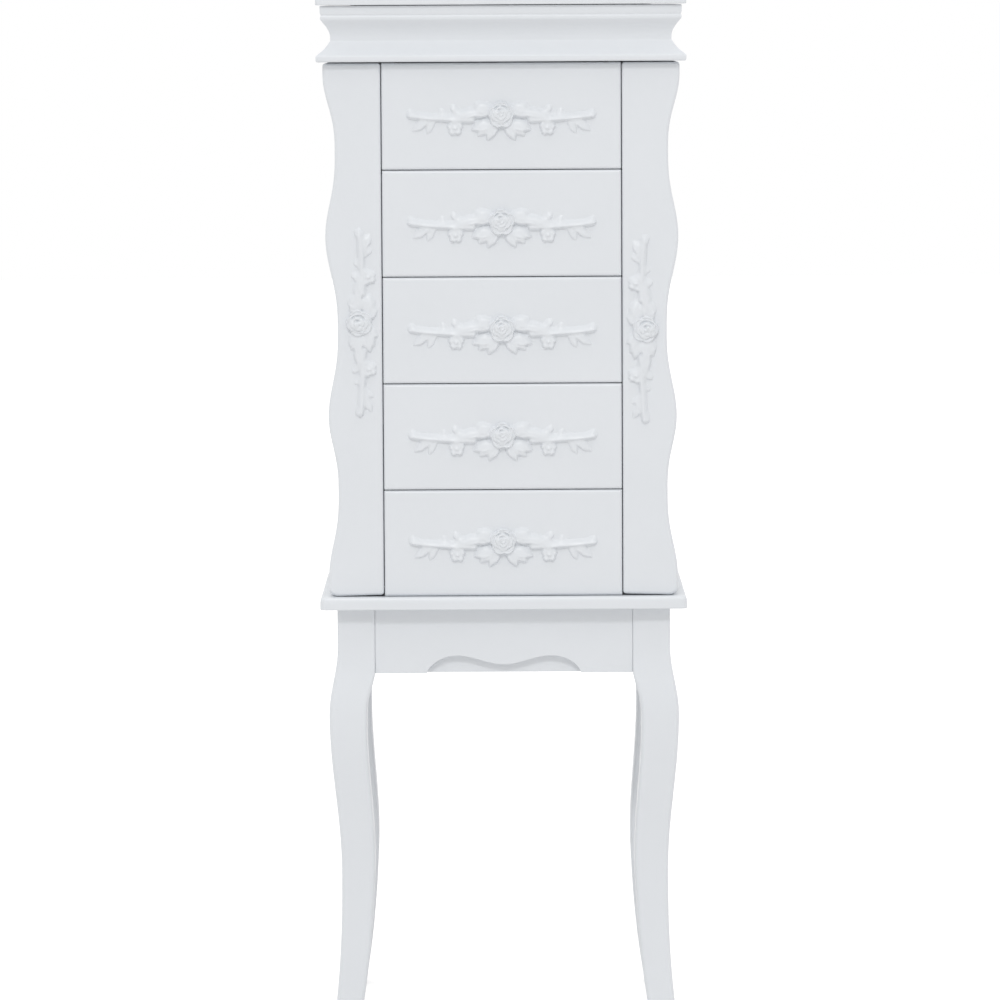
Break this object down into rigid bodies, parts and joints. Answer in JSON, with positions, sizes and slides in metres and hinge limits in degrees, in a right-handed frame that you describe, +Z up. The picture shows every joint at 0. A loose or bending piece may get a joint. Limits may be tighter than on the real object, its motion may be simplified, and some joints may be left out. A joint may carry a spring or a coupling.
{
  "type": "jewelry mirror cabinet",
  "caption": "Free-standing white jewelry armoire on cabriole legs, with a flip-top mirror lid, drawers and swing-out side doors with necklace hooks.",
  "frame": {"origin": "on the floor under the middle of the cabinet", "axes": "+Z up; the front faces -Y; +X to the right seen from the front"},
  "size_m": [0.352, 0.25, 0.9976],
  "materials": {
    "white_paint": "satin white paint on fibreboard",
    "box_wood": "pale lacquered plywood",
    "brass": "polished brass plate",
    "mirror": "silvered glass",
    "velvet": "short-pile velvet"
  },
  "bodies": {
    "cabinet": {"base_plate": "white_paint", "leg_front_left": "white_paint", "leg_front_right": "white_paint", "leg_rear_left": "white_paint", "leg_rear_right": "white_paint", "apron_front": "white_paint", "apron_back": "white_paint", "apron_left": "white_paint", "apron_right": "white_paint", "side_panel_left": "white_paint", "side_panel_right": "white_paint", "back_panel": "white_paint", "top_board": "white_paint", "crown_front": "white_paint", "crown_left": "white_paint", "crown_right": "white_paint", "crown_back": "white_paint", "ring_cushion": "velvet", "tray_divider": "white_paint", "door_hinge_lower_fixed_left": "brass", "door_hinge_lower_fixed_right": "brass", "door_hinge_upper_fixed_left": "brass", "door_hinge_upper_fixed_right": "brass", "lid_hinge_fixed_left": "brass", "lid_hinge_fixed_right": "brass"},
    "lid": {"lid_board": "white_paint", "mirror_frame": "white_paint", "mirror_glass": "mirror", "lid_hinge_moving_left": "brass", "lid_hinge_moving_right": "brass"},
    "drawer_1": {"drawer_1_front": "white_paint", "drawer_1_box": "box_wood", "drawer_1_carving": "white_paint"},
    "drawer_2": {"drawer_2_front": "white_paint", "drawer_2_box": "box_wood", "drawer_2_carving": "white_paint"},
    "drawer_3": {"drawer_3_front": "white_paint", "drawer_3_box": "box_wood", "drawer_3_carving": "white_paint"},
    "drawer_4": {"drawer_4_front": "white_paint", "drawer_4_box": "box_wood", "drawer_4_carving": "white_paint"},
    "drawer_5": {"drawer_5_front": "white_paint", "drawer_5_box": "box_wood", "drawer_5_carving": "white_paint"},
    "door_left": {"door_front_left": "white_paint", "door_frame_left": "white_paint", "door_skin_left": "white_paint", "door_carving_left": "white_paint", "hook_rail_left": "brass", "door_hinge_lower_moving_left": "brass", "door_hinge_upper_moving_left": "brass"},
    "door_right": {"door_front_right": "white_paint", "door_frame_right": "white_paint", "door_skin_right": "white_paint", "door_carving_right": "white_paint", "hook_rail_right": "brass", "door_hinge_lower_moving_right": "brass", "door_hinge_upper_moving_right": "brass"}
  },
  "joints": [
    {"name": "lid_hinge", "type": "hinge", "parent": "cabinet", "child": "lid", "pos_m": [0, 0.1224, 0.9783], "axis": [-1, 0, 0], "range_deg": [0, 100]},
    {"name": "door_left_hinge", "type": "hinge", "parent": "cabinet", "child": "door_left", "pos_m": [-0.16, 0.11225, 0.669], "axis": [0, 0, -1], "range_deg": [0, 105]},
    {"name": "door_right_hinge", "type": "hinge", "parent": "cabinet", "child": "door_right", "pos_m": [0.16, 0.11225, 0.669], "axis": [0, 0, 1], "range_deg": [0, 105]},
    {"name": "drawer_1_slide", "type": "slide", "parent": "cabinet", "child": "drawer_1", "axis": [0, -1, 0], "range_m": [0, 0.15]},
    {"name": "drawer_2_slide", "type": "slide", "parent": "cabinet", "child": "drawer_2", "axis": [0, -1, 0], "range_m": [0, 0.15]},
    {"name": "drawer_3_slide", "type": "slide", "parent": "cabinet", "child": "drawer_3", "axis": [0, -1, 0], "range_m": [0, 0.15]},
    {"name": "drawer_4_slide", "type": "slide", "parent": "cabinet", "child": "drawer_4", "axis": [0, -1, 0], "range_m": [0, 0.15]},
    {"name": "drawer_5_slide", "type": "slide", "parent": "cabinet", "child": "drawer_5", "axis": [0, -1, 0], "range_m": [0, 0.15]}
  ]
}
